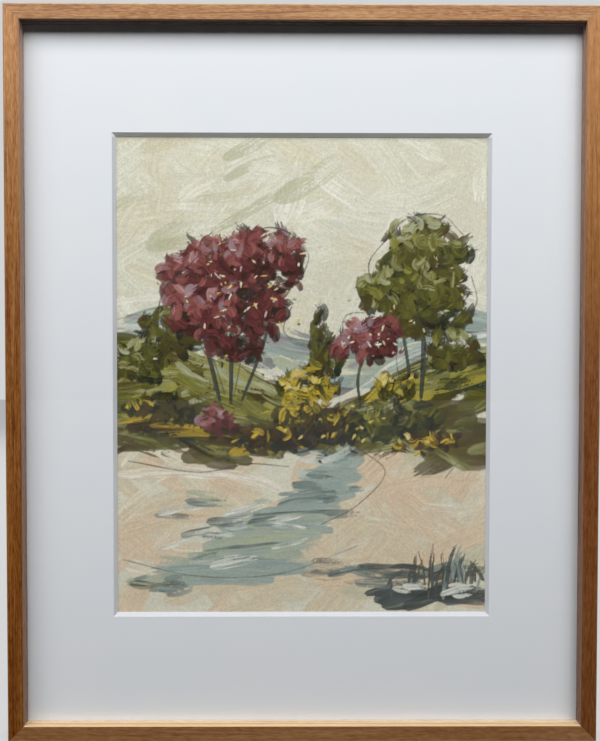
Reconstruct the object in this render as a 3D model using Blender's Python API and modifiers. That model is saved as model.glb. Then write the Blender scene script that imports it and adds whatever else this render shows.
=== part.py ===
"""A framed picture: a narrow mitred wooden frame with its glass, spacers, window mat,
picture sheet, undermount, backboard, framer's tabs, corner wedges and sawtooth hanger.

Metres, +Z up. The picture faces -Y and its back lies in the plane Y = 0. The origin is
the middle of the top rail's back face. Run with: blender --background --python part.py
"""

import math

import bmesh
import bpy
from mathutils import Matrix, Vector

# Driving dimensions
GLASS_W = 0.4064  # a 16 inch wide standard sheet
GLASS_H = 0.5080  # 20 inches
GLASS_T = 0.0020
GLASS_PLAY = 0.0011  # room between the glass and the rebate, each side
FACE = 0.0114  # the frame's face as seen from the front
LIP = 0.0050  # how far the lip reaches over the glass
LIP_T = 0.0035
DEPTH = 0.0250
WINDOW_W = 0.2667  # the mat's window at its back face, 10.5 inches
WINDOW_H = 0.3429  # 13.5 inches
WINDOW_SHIFT = -0.0008  # the window was cut this far off the middle
SHEET_W = 0.2794  # an 11 inch wide sheet
SHEET_H = 0.3556  # 14 inches

# Thicknesses of what lies behind the glass, front to back
SPACER_T = 0.0049
MAT_T = 0.0026
SHEET_T = 0.0006
HINGE_T = 0.0002
UNDERMOUNT_T = 0.0015
BACKBOARD_T = 0.0025

# Clearances
GAP = 0.0003  # between pieces that touch
THIN_GAP = 0.0002  # between a paper hinge and its neighbours
MITRE_GAP = 0.0001  # the glued joint's hairline

# Worked out from the above
REBATE_W = GLASS_W + 2 * GLASS_PLAY
REBATE_H = GLASS_H + 2 * GLASS_PLAY
SIGHT_W = REBATE_W - 2 * LIP
SIGHT_H = REBATE_H - 2 * LIP
OUTER_W = SIGHT_W + 2 * FACE
OUTER_H = SIGHT_H + 2 * FACE
WALL = FACE - LIP  # the rail's thickness beside the rebate
CENTRE_Z = WALL / 2 - OUTER_H / 2  # the picture's middle, below the origin

GLASS_Y = -DEPTH + LIP_T + GAP  # front face of each layer
SPACER_Y = GLASS_Y + GLASS_T + GAP
MAT_Y = SPACER_Y + SPACER_T + GAP
SHEET_Y = MAT_Y + MAT_T + GAP
HINGE_Y = SHEET_Y + SHEET_T + THIN_GAP
UNDERMOUNT_Y = HINGE_Y + HINGE_T + THIN_GAP
BACKBOARD_Y = UNDERMOUNT_Y + UNDERMOUNT_T + GAP
RECESS_Y = BACKBOARD_Y + BACKBOARD_T  # the backboard's back face

# Corner wedges and framer's tabs
WEDGE_LEG = 0.0045
WEDGE_T = 0.00045
WEDGE_DEPTH = 0.0070
WEDGE_SUNK = 0.0004  # below the back of the frame
TAB_T = 0.00045
TAB_W = 0.0064
TAB_LENGTH = 0.0150
TAB_SUNK = 0.0040  # held inside the rail
TABS_SHORT_SIDE = 3
TABS_LONG_SIDE = 4

# Paper hinges that hold the sheet by its top edge
HINGE_W = 0.0200
HINGE_H = 0.0250
HINGE_X = 0.0900

# Sawtooth hanger
HANGER_DROP = 0.0260  # from the backboard's top edge to the middle of the plate
HANGER_LENGTH = 0.0540
HANGER_H = 0.0100
HANGER_T = 0.0009
HANGER_RAISE = 0.0017  # the toothed middle stands this far behind its two lugs
LUG_LENGTH = 0.0090
STEP_LENGTH = 0.0030  # along which the plate steps up from a lug
TOOTH_PITCH = 0.0024
TOOTH_H = 0.0018
TEETH = 11
RIVET_R = 0.0010
RIVET_HEAD_R = 0.0024
RIVET_HEAD_H = 0.0010
RIVET_TAIL_R = 0.0021
RIVET_TAIL_T = 0.0005
RIVET_INSET = 0.0045  # from the plate's end to the rivet

# Rounded and eased edges
OUTER_ARRIS = 0.0008
INNER_ARRIS = 0.0005
BACK_ARRIS = 0.0004
ARC_STEPS = 3
ROUND_STEPS = 28
WELD = 0.000001


def start_empty():
    """Clears the scene and makes the collections and the empty that carries the part."""
    for old in list(bpy.data.objects):
        bpy.data.objects.remove(old, do_unlink=True)
    for name in ("framed_picture", "cutters"):
        collection = bpy.data.collections.new(name)
        bpy.context.scene.collection.children.link(collection)
    centre = bpy.data.objects.new("picture_centre", None)
    centre.location = (0, 0, CENTRE_Z)
    bpy.data.collections["framed_picture"].objects.link(centre)
    return centre


def finish(name, colour, roughness, metallic=0.0, alpha=1.0):
    """A Principled BSDF material."""
    material = bpy.data.materials.new(name)
    material.use_nodes = True
    shader = material.node_tree.nodes["Principled BSDF"]
    shader.inputs["Base Color"].default_value = (*colour, 1)
    shader.inputs["Roughness"].default_value = roughness
    shader.inputs["Metallic"].default_value = metallic
    shader.inputs["Alpha"].default_value = alpha
    return material


def object_from(bm, name, material=None):
    """Makes an object of a bmesh, as a piece on the picture's centre or as a cutter."""
    mesh = bpy.data.meshes.new(name)
    bm.normal_update()
    bm.to_mesh(mesh)
    bm.free()
    piece = bpy.data.objects.new(name, mesh)
    if material is None:
        bpy.data.collections["cutters"].objects.link(piece)
        piece.hide_render = True
        piece.display_type = "WIRE"
    else:
        bpy.data.collections["framed_picture"].objects.link(piece)
        mesh.materials.append(material)
    piece.parent = CENTRE
    return piece


def box_mesh(low, high):
    """A bmesh box between two corners."""
    low, high = Vector(low), Vector(high)
    bm = bmesh.new()
    bmesh.ops.create_cube(bm, size=1)
    size = high - low
    bmesh.ops.scale(bm, vec=size, verts=bm.verts)
    bmesh.ops.translate(bm, vec=(low + high) / 2, verts=bm.verts)
    return bm


def sheet_mesh(width, height, front_y, thickness, middle=(0, 0)):
    """A bmesh board that stands upright, with its middle at x and z."""
    x, z = middle
    return box_mesh(
        (x - width / 2, front_y, z - height / 2),
        (x + width / 2, front_y + thickness, z + height / 2),
    )


def cut(piece, cutter):
    """Takes a cutter out of a piece with a Boolean modifier."""
    boolean = piece.modifiers.new(cutter.name, "BOOLEAN")
    boolean.operation = "DIFFERENCE"
    boolean.solver = "EXACT"
    boolean.object = cutter


def outline_mesh(points, length):
    """A closed flat outline in the local XY plane, given a length along local Z."""
    curve = bpy.data.curves.new("outline", "CURVE")
    curve.dimensions = "2D"
    curve.fill_mode = "BOTH"
    curve.extrude = length / 2
    spline = curve.splines.new("POLY")
    spline.points.add(len(points) - 1)
    for point, (x, y) in zip(spline.points, points):
        point.co = (x, y, 0, 1)
    spline.use_cyclic_u = True
    holder = bpy.data.objects.new("outline", curve)
    bpy.context.scene.collection.objects.link(holder)
    bpy.context.view_layer.update()
    evaluated = holder.evaluated_get(bpy.context.evaluated_depsgraph_get())
    mesh = bpy.data.meshes.new_from_object(evaluated)
    bm = bmesh.new()
    bm.from_mesh(mesh)
    bmesh.ops.remove_doubles(bm, verts=bm.verts, dist=WELD)
    bmesh.ops.dissolve_limit(
        bm, angle_limit=math.radians(0.5), verts=bm.verts, edges=bm.edges
    )
    bpy.data.objects.remove(holder, do_unlink=True)
    bpy.data.meshes.remove(mesh)
    bpy.data.curves.remove(curve)
    return bm


def rounded(corners):
    """The points of a closed outline whose corners (x, y, radius) are rounded."""
    points = []
    for i, (x, y, radius) in enumerate(corners):
        here = Vector((x, y))
        if radius == 0:
            points.append(here)
            continue
        back = (Vector(corners[i - 1][:2]) - here).normalized()
        ahead = (Vector(corners[(i + 1) % len(corners)][:2]) - here).normalized()
        centre = here + (back + ahead) * radius  # true for a square corner
        for step in range(ARC_STEPS + 1):
            turn = math.pi / 2 * step / ARC_STEPS
            points.append(centre - ahead * radius * math.cos(turn) - back * radius * math.sin(turn))
    return [tuple(p) for p in points]


def mitred_bar(corners, length):
    """A bar of a section drawn as (distance in from its outer edge, height from its back),
    with both ends cut at 45 degrees so that the outer edge is the longest."""
    bm = outline_mesh(rounded(corners), length + 2 * GAP)
    for end in (1, -1):
        cut_here = bmesh.ops.bisect_plane(
            bm,
            geom=bm.verts[:] + bm.edges[:] + bm.faces[:],
            dist=WELD,
            plane_co=(0, 0, end * (length / 2 - MITRE_GAP / 2)),
            plane_no=(1, 0, end),
            clear_outer=True,
        )
        rim = [e for e in cut_here["geom_cut"] if isinstance(e, bmesh.types.BMEdge)]
        bmesh.ops.holes_fill(bm, edges=rim, sides=0)
    bmesh.ops.recalc_face_normals(bm, faces=bm.faces)
    return bm


def side_place(side, half_w, half_h):
    """Where a bar drawn as in mitred_bar goes, for side 0 top, 1 right, 2 bottom, 3 left:
    its outer edge lies half_w or half_h from the middle and its back in the plane Y = 0."""
    reach = half_h if side % 2 == 0 else half_w
    inward, to_front, along = Vector((0, 0, -1)), Vector((0, -1, 0)), Vector((-1, 0, 0))
    upright = Matrix((inward, to_front, along)).transposed().to_4x4()
    upright.translation = (0, 0, reach)
    return Matrix.Rotation(math.radians(90) * side, 4, "Y") @ upright


SIDES = ("top", "right", "bottom", "left")


def side_length(side, width, height):
    return width if side % 2 == 0 else height


def make_rails(wood):
    """Four mouldings with an L section: a wall beside the rebate and a lip in front of it."""
    section = [
        (0, 0, BACK_ARRIS),
        (WALL, 0, BACK_ARRIS),
        (WALL, DEPTH - LIP_T, 0),
        (FACE, DEPTH - LIP_T, 0),
        (FACE, DEPTH, INNER_ARRIS),
        (0, DEPTH, OUTER_ARRIS),
    ]
    rails = []
    for side, name in enumerate(SIDES):
        bm = mitred_bar(section, side_length(side, OUTER_W, OUTER_H))
        bm.transform(side_place(side, OUTER_W / 2, OUTER_H / 2))
        rails.append(object_from(bm, "rail_" + name, wood))
    return rails


def make_spacers(wood):
    """Four square fillets in the rebate, flush with the lip, that hold the mat off the glass."""
    width, height = REBATE_W - 2 * GAP, REBATE_H - 2 * GAP
    reach = LIP - GAP
    section = [(0, 0, 0), (reach, 0, 0), (reach, SPACER_T, 0), (0, SPACER_T, 0)]
    for side, name in enumerate(SIDES):
        bm = mitred_bar(section, side_length(side, width, height))
        bm.transform(side_place(side, width / 2, height / 2))
        bmesh.ops.translate(bm, vec=(0, SPACER_Y + SPACER_T, 0), verts=bm.verts)
        object_from(bm, "spacer_" + name, wood)


def make_layers(glass, board, paper, hinge_paper, backing):
    """The flat pieces between the lip and the tabs. Returns the backboard."""
    object_from(sheet_mesh(GLASS_W, GLASS_H, GLASS_Y, GLASS_T), "glazing", glass)

    mat = object_from(sheet_mesh(GLASS_W, GLASS_H, MAT_Y, MAT_T), "window_mat", board)
    window = sheet_mesh(
        WINDOW_W, WINDOW_H, MAT_Y - GAP, MAT_T + 2 * GAP, (WINDOW_SHIFT, 0)
    )
    slope = MAT_T + 2 * GAP  # the 45 degree bevel, from just behind to just in front
    for vert in window.verts:
        out = slope if vert.co.y < MAT_Y else 0
        vert.co.x += math.copysign(out, vert.co.x - WINDOW_SHIFT)
        vert.co.z += math.copysign(out, vert.co.z)
    cut(mat, object_from(window, "window_cutter"))

    sheet_middle = (WINDOW_SHIFT, 0)
    sheet = sheet_mesh(SHEET_W, SHEET_H, SHEET_Y, SHEET_T, sheet_middle)
    object_from(sheet, "artwork_sheet", paper)
    for name, side in (("hinge_left", -1), ("hinge_right", 1)):
        middle = (WINDOW_SHIFT + side * HINGE_X, SHEET_H / 2)
        hinge = sheet_mesh(HINGE_W, HINGE_H, HINGE_Y, HINGE_T, middle)
        object_from(hinge, name, hinge_paper)

    undermount = sheet_mesh(GLASS_W, GLASS_H, UNDERMOUNT_Y, UNDERMOUNT_T)
    object_from(undermount, "undermount", board)
    backboard = sheet_mesh(GLASS_W, GLASS_H, BACKBOARD_Y, BACKBOARD_T)
    return object_from(backboard, "backboard", backing)


def make_wedges(steel, rails):
    """A bent steel strip across each mitre, in a pocket that opens at the frame's back."""
    reach_x, reach_z = OUTER_W / 2 - WALL / 2, OUTER_H / 2 - WALL / 2
    corners = (("top_left", -1, 1), ("top_right", 1, 1), ("bottom_right", 1, -1), ("bottom_left", -1, -1))

    def angle_outline(half, leg):
        """An L drawn about its corner, with legs along -x and -y."""
        return [(half, half), (-leg, half), (-leg, -half), (-half, -half), (-half, -leg), (half, -leg)]

    def placed(half, leg, low_y, high_y, x, z):
        bm = outline_mesh(angle_outline(half, leg), high_y - low_y)
        stand_up = Matrix.Rotation(math.radians(90), 4, "X")
        flip = Matrix.Diagonal((math.copysign(1, x), 1, math.copysign(1, z), 1))
        place = Matrix.Translation((x, (low_y + high_y) / 2, z))
        bm.transform(place @ flip @ stand_up)
        bmesh.ops.recalc_face_normals(bm, faces=bm.faces)
        return bm

    for index, (name, side_x, side_z) in enumerate(corners):
        x, z = side_x * reach_x, side_z * reach_z
        low, high = -WEDGE_SUNK - WEDGE_DEPTH, -WEDGE_SUNK
        object_from(placed(WEDGE_T / 2, WEDGE_LEG, low, high, x, z), "corner_wedge_" + name, steel)
        pocket = placed(WEDGE_T / 2 + GAP, WEDGE_LEG + GAP, low - GAP, GAP, x, z)
        cutter = object_from(pocket, "wedge_pocket_" + name)
        cut(rails[index - 1], cutter)
        cut(rails[index], cutter)


def make_tabs(steel, rails):
    """Thin steel tabs, driven into the rails behind the backboard, that hold the layers in."""
    low_y = RECESS_Y + GAP
    for side, name in enumerate(SIDES):
        count = TABS_SHORT_SIDE if side % 2 == 0 else TABS_LONG_SIDE
        run = side_length(side, REBATE_W, REBATE_H)
        reach = side_length(side, REBATE_H, REBATE_W) / 2
        turn = Matrix.Rotation(math.radians(90) * side, 4, "Y")
        for i in range(count):
            x = run * ((i + 0.5) / count - 0.5)
            tab = box_mesh(
                (x - TAB_W / 2, low_y, reach + TAB_SUNK - TAB_LENGTH),
                (x + TAB_W / 2, low_y + TAB_T, reach + TAB_SUNK),
            )
            tab.transform(turn)
            object_from(tab, f"tab_{name}_{i + 1}", steel)
            slot = box_mesh(
                (x - TAB_W / 2 - GAP, low_y - GAP, reach - TAB_SUNK),
                (x + TAB_W / 2 + GAP, low_y + TAB_T + GAP, reach + TAB_SUNK + GAP),
            )
            slot.transform(turn)
            cut(rails[side], object_from(slot, f"tab_slot_{name}_{i + 1}"))


def hanger_outline():
    """The plate seen from behind, with its teeth along the lower edge of the raised middle."""
    half_l, half_h = HANGER_LENGTH / 2, HANGER_H / 2
    points = [(-half_l, -half_h), (-half_l, half_h), (half_l, half_h), (half_l, -half_h)]
    start = TEETH * TOOTH_PITCH / 2
    for i in range(TEETH):
        x = start - i * TOOTH_PITCH
        points.append((x, -half_h))
        points.append((x - TOOTH_PITCH / 2, -half_h + TOOTH_H))
    points.append((-start, -half_h))
    return points


def make_hanger(steel, backboard):
    """A stamped sawtooth plate, riveted through the backboard."""
    middle_z = GLASS_H / 2 - HANGER_DROP
    lug_y = RECESS_Y + GAP
    bm = outline_mesh(hanger_outline(), HANGER_T)
    bm.transform(Matrix.Rotation(math.radians(90), 4, "X"))
    bmesh.ops.translate(bm, vec=(0, lug_y + HANGER_T / 2, middle_z), verts=bm.verts)
    step_end = HANGER_LENGTH / 2 - LUG_LENGTH
    step_start = step_end - STEP_LENGTH
    for x in (step_end, step_start, -step_start, -step_end):
        bmesh.ops.bisect_plane(
            bm,
            geom=bm.verts[:] + bm.edges[:] + bm.faces[:],
            dist=WELD,
            plane_co=(x, 0, 0),
            plane_no=(1, 0, 0),
        )
    for vert in bm.verts:
        if abs(vert.co.x) < step_start + WELD:
            vert.co.y += HANGER_RAISE
    bmesh.ops.recalc_face_normals(bm, faces=bm.faces)
    plate = object_from(bm, "sawtooth_hanger", steel)

    head_y = lug_y + HANGER_T + GAP
    tail_front = BACKBOARD_Y + GAP
    tail_back = tail_front + RIVET_TAIL_T
    recess_end = tail_back + GAP
    for name, side in (("rivet_left", -1), ("rivet_right", 1)):
        x = side * (HANGER_LENGTH / 2 - RIVET_INSET)
        make_rivet(name, steel, (x, middle_z), head_y, tail_front, tail_back)
        hole = round_cutter(
            "hole_" + name, RIVET_R + GAP, (x, middle_z), BACKBOARD_Y - GAP, head_y
        )
        cut(plate, hole)
        cut(backboard, hole)
        seat = round_cutter(
            "seat_" + name, RIVET_TAIL_R + GAP, (x, middle_z), BACKBOARD_Y - GAP, recess_end
        )
        cut(backboard, seat)


def round_cutter(name, radius, middle, low_y, high_y):
    """A cylinder along Y."""
    bm = bmesh.new()
    bmesh.ops.create_cone(
        bm,
        cap_ends=True,
        segments=ROUND_STEPS,
        radius1=radius,
        radius2=radius,
        depth=high_y - low_y,
    )
    bm.transform(Matrix.Rotation(math.radians(90), 4, "X"))
    place = (middle[0], (low_y + high_y) / 2, middle[1])
    bmesh.ops.translate(bm, vec=place, verts=bm.verts)
    return object_from(bm, name)


def make_rivet(name, steel, middle, head_y, tail_front, tail_back):
    """A domed rivet along Y: a profile turned about Z, laid back so that +Z becomes +Y."""
    profile = []
    for step in range(5):
        turn = math.pi / 2 * step / 4
        profile.append((RIVET_HEAD_R * math.sin(turn), head_y + RIVET_HEAD_H * math.cos(turn)))
    profile += [
        (RIVET_R, head_y),
        (RIVET_R, tail_back),
        (RIVET_TAIL_R, tail_back),
        (RIVET_TAIL_R, tail_front),
        (0, tail_front),
    ]
    bm = bmesh.new()
    verts = [bm.verts.new((r, 0, h)) for r, h in profile]
    for a, b in zip(verts, verts[1:]):
        bm.edges.new((a, b))
    rivet = object_from(bm, name, steel)
    rivet.rotation_euler = (math.radians(-90), 0, 0)
    rivet.location = (middle[0], 0, middle[1])
    screw = rivet.modifiers.new("turned", "SCREW")
    screw.steps = screw.render_steps = ROUND_STEPS
    screw.use_merge_vertices = True
    screw.merge_threshold = WELD
    screw.use_smooth_shade = True


CENTRE = start_empty()
frame_wood = finish("frame_wood", (0.39, 0.20, 0.085), 0.42)
spacer_wood = finish("spacer_wood", (0.40, 0.22, 0.11), 0.5)
clear_glass = finish("clear_glass", (0.93, 0.96, 0.95), 0.03, alpha=0.12)
mat_board = finish("mat_board", (0.84, 0.86, 0.88), 0.85)
art_paper = finish("art_paper", (0.63, 0.59, 0.46), 0.9)
hinge_paper = finish("hinge_paper", (0.86, 0.85, 0.80), 0.8)
backing_board = finish("backing_board", (0.33, 0.22, 0.13), 0.8)
plated_steel = finish("plated_steel", (0.62, 0.60, 0.56), 0.35, metallic=1.0)

frame_rails = make_rails(frame_wood)
make_spacers(spacer_wood)
back_panel = make_layers(clear_glass, mat_board, art_paper, hinge_paper, backing_board)
make_wedges(plated_steel, frame_rails)
make_tabs(plated_steel, frame_rails)
make_hanger(plated_steel, back_panel)
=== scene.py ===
"""Looks for a framed picture: camera and light, then every piece from the front of the frame
to its back, in metres."""

import math

import bmesh
import bpy
import numpy as np
from mathutils import Matrix, Vector


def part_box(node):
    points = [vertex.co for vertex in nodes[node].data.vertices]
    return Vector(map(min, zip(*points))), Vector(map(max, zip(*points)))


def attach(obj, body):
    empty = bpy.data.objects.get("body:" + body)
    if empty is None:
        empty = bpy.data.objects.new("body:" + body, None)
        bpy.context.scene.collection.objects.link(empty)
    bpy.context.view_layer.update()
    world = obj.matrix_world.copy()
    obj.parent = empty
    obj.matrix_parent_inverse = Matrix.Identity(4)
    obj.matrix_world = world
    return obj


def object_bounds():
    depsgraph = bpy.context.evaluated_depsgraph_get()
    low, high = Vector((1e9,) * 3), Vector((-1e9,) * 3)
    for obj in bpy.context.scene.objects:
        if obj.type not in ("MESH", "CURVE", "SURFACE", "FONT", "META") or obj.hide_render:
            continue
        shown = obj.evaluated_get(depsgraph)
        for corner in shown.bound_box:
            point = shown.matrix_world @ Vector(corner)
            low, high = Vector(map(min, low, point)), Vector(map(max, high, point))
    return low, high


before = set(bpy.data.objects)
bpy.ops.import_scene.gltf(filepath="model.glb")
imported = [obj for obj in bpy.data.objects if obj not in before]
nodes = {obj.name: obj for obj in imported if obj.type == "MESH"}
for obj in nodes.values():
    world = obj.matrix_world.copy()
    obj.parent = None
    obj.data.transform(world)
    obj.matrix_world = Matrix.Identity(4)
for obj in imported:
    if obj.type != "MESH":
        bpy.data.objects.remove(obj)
cad_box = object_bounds()


# Camera
# A 40 mm lens a little above the picture's middle, 0.58 m in front of it and turned slightly
# down, so that the top of the frame is nearer than the bottom.
low, high = cad_box
MIDDLE = (low + high) / 2
FRONT_Y = low.y
EYE = Vector((MIDDLE.x - 0.0059, FRONT_Y - 0.5837, MIDDLE.z + 0.0193))
AIM = Vector((MIDDLE.x - 0.0023, FRONT_Y, MIDDLE.z + 0.0045))
ROLL = math.radians(0.07)

lens = bpy.data.cameras.new("camera")
lens.lens = 40.08
lens.sensor_width = 36
camera = bpy.data.objects.new("camera", lens)
turn = (AIM - EYE).to_track_quat("-Z", "Y").to_matrix().to_4x4()
camera.matrix_world = Matrix.Translation(EYE) @ turn @ Matrix.Rotation(ROLL, 4, "Z")
bpy.context.scene.collection.objects.link(camera)
bpy.context.scene.camera = camera
bpy.context.scene.view_settings.view_transform = "Standard"


# Floor and light
# A pale floor under the frame, a wide soft light above and in front of it, and two weak ones
# behind for the back. Only the camera sees the floor and the pale surroundings as bright as
# they look; they shed next to no light on the picture.
def soft_light(name, place, target, size, watts, colour):
    """A rectangular light at a place, facing its target."""
    lamp = bpy.data.lights.new(name, "AREA")
    lamp.shape = "RECTANGLE"
    lamp.size, lamp.size_y = size
    lamp.energy = watts
    lamp.color = colour
    light = bpy.data.objects.new(name, lamp)
    facing = (Vector(target) - Vector(place)).to_track_quat("-Z", "Y").to_matrix().to_4x4()
    light.matrix_world = Matrix.Translation(place) @ facing
    bpy.context.scene.collection.objects.link(light)


PANEL_NEAR = Vector((-0.25, FRONT_Y - 1.142, high.z + 0.496))
PANEL_FAR = Vector((-0.25, FRONT_Y - 0.467, high.z + 0.880))
PANEL_WIDTH = 3.0
panel_middle = (PANEL_NEAR + PANEL_FAR) / 2
panel_normal = (PANEL_FAR - PANEL_NEAR).cross(Vector((1, 0, 0)))
if panel_normal.z > 0:
    panel_normal.negate()
soft_light(
    "key_light",
    panel_middle,
    panel_middle + panel_normal,
    size=(PANEL_WIDTH, (PANEL_FAR - PANEL_NEAR).length),
    watts=41,
    colour=(0.965, 0.950, 1.0),
)
for name, side in (("back_light_left", -1), ("back_light_right", 1)):
    place = (side * 1.3, 1.4, high.z + 0.7)
    soft_light(name, place, MIDDLE, size=(1.4, 1.4), watts=26, colour=(1.0, 0.98, 0.95))

SHED_BY_SURROUNDINGS = 0.035
SEEN_OF_SURROUNDINGS = 0.80
world = bpy.data.worlds.new("surroundings")
bpy.context.scene.world = world
world.use_nodes = True
world_tree = world.node_tree
background = world_tree.nodes["Background"]
background.inputs["Color"].default_value = (0.80, 0.81, 0.82, 1)
rays = world_tree.nodes.new("ShaderNodeLightPath")
strength = world_tree.nodes.new("ShaderNodeMapRange")
strength.inputs["To Min"].default_value = SHED_BY_SURROUNDINGS
strength.inputs["To Max"].default_value = SEEN_OF_SURROUNDINGS
world_tree.links.new(rays.outputs["Is Camera Ray"], strength.inputs["Value"])
world_tree.links.new(strength.outputs["Result"], background.inputs["Strength"])

FLOOR_HALF = 4
FLOOR_GAP = 0.0005
floor_mesh = bmesh.new()
bmesh.ops.create_grid(floor_mesh, x_segments=1, y_segments=1, size=FLOOR_HALF)
bmesh.ops.translate(floor_mesh, vec=(0, 0, low.z - FLOOR_GAP), verts=floor_mesh.verts)
floor_data = bpy.data.meshes.new("floor")
floor_mesh.to_mesh(floor_data)
floor_mesh.free()
floor = bpy.data.objects.new("floor", floor_data)
bpy.context.scene.collection.objects.link(floor)
floor.visible_diffuse = False
floor.visible_glossy = False
floor.visible_transmission = True
floor_paint = bpy.data.materials.new("pale_floor")
floor_paint.use_nodes = True
floor_shader = floor_paint.node_tree.nodes["Principled BSDF"]
floor_shader.inputs["Base Color"].default_value = (0.18, 0.18, 0.178, 1)
floor_shader.inputs["Roughness"].default_value = 0.9
floor_shader.inputs["Emission Color"].default_value = (0.42, 0.425, 0.43, 1)
floor_shader.inputs["Emission Strength"].default_value = 1.0
floor_data.materials.append(floor_paint)


# Frame rails
# Four mitred lengths of straight-grained honey-brown wood under a semi-gloss clear finish,
# glued and wedged at the corners. The grain runs along each rail.
class Field:
    """A shader socket, on which arithmetic adds Math nodes."""

    def __init__(self, finish, socket):
        self.finish, self.socket = finish, socket

    def maths(self, operation, *others):
        """A Math node with this value as its first operand."""
        return self.finish.node("Math", {"operation": operation}, dict(enumerate((self, *others))))

    def __add__(self, other):
        return self.maths("ADD", other)

    __radd__ = __add__

    def __sub__(self, other):
        return self.maths("SUBTRACT", other)

    def __rsub__(self, other):
        return self * -1 + other

    def __mul__(self, other):
        return self.maths("MULTIPLY", other)

    __rmul__ = __mul__


class Finish:
    """A material whose Principled BSDF has constants on its sockets and nodes on a few."""

    def __init__(self, name, **constants):
        self.material = bpy.data.materials.new(name)
        self.material.use_nodes = True
        self.tree = self.material.node_tree
        self.shader = self.tree.nodes["Principled BSDF"]
        for socket, value in constants.items():
            self.shader.inputs[socket.replace("_", " ")].default_value = value
        self.place = self.node("TexCoord", output="Object")

    def node(self, kind, settings=None, inputs=None, output=0):
        """Adds a node and returns one of its outputs as a Field."""
        made = self.tree.nodes.new("ShaderNode" + kind)
        for name, value in (settings or {}).items():
            if name == "stops":
                ramp = made.color_ramp
                for stop in ramp.elements[1:]:
                    ramp.elements.remove(stop)
                ramp.elements[0].position, ramp.elements[0].color = value[0]
                for position, colour in value[1:]:
                    ramp.elements.new(position).color = colour
            else:
                setattr(made, name, value)
        for name, value in (inputs or {}).items():
            if isinstance(value, Field):
                self.tree.links.new(value.socket, made.inputs[name])
            else:
                made.inputs[name].default_value = value
        return Field(self, made.outputs[output])

    def feed(self, socket, value):
        """Links a value to one of the shader's sockets."""
        self.tree.links.new(value.socket, self.shader.inputs[socket])

    def noise(self, scale, detail=3, roughness=0.5, shift=(0, 0, 0), turned=(0, 0, 0), distortion=0):
        """Noise in object space, stretched by one scale per axis, in waves to the metre."""
        spot = self.node(
            "Mapping",
            {"vector_type": "POINT"},
            {"Vector": self.place, "Rotation": turned, "Location": shift, "Scale": scale},
        )
        return self.node(
            "TexNoise",
            {},
            {
                "Vector": spot, "Scale": 1, "Detail": detail, "Roughness": roughness,
                "Distortion": distortion,
            },
        )

    def between(self, value, low, high, to_low=0, to_high=1):
        """Maps low..high of a value on to another range, and holds it there."""
        return self.node(
            "MapRange",
            {"clamp": True},
            {"Value": value, "From Min": low, "From Max": high, "To Min": to_low, "To Max": to_high},
        )

    def mixed(self, factor, first, second, how="MIX"):
        """Mixes two colours by a factor from 0 to 1."""
        return self.node(
            "Mix", {"data_type": "RGBA", "blend_type": how}, {0: factor, 6: first, 7: second}, 2,
        )

    def relief(self, height, distance, strength=1.0):
        """Feeds a height, in units of a distance in metres, to the shader's normal."""
        bump = self.node(
            "Bump", {}, {"Height": height, "Distance": distance, "Strength": strength}, "Normal",
        )
        self.feed("Normal", bump)


SIGHT_LOW = Vector((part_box("rail_left")[1].x, FRONT_Y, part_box("rail_bottom")[1].z))
SIGHT_HIGH = Vector((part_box("rail_right")[0].x, FRONT_Y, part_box("rail_top")[0].z))
SIGHT_MIDDLE = (SIGHT_LOW + SIGHT_HIGH) / 2
SIGHT_HALF = (SIGHT_HIGH - SIGHT_LOW) / 2
# The heights between which an upright piece's painted shade darkens it towards its foot tone
PAINTED_SHADE_FOOT, PAINTED_SHADE_TOP = high.z - 0.235, high.z - 0.010
PALER, DARKER, DARKEST = 0.78, 1.40, 1.6


def opaque(colour, power=1.0):
    """A colour with an alpha of 1, made paler by a power under 1 and darker by one over it."""
    return (*[c**power for c in colour], 1)


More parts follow.
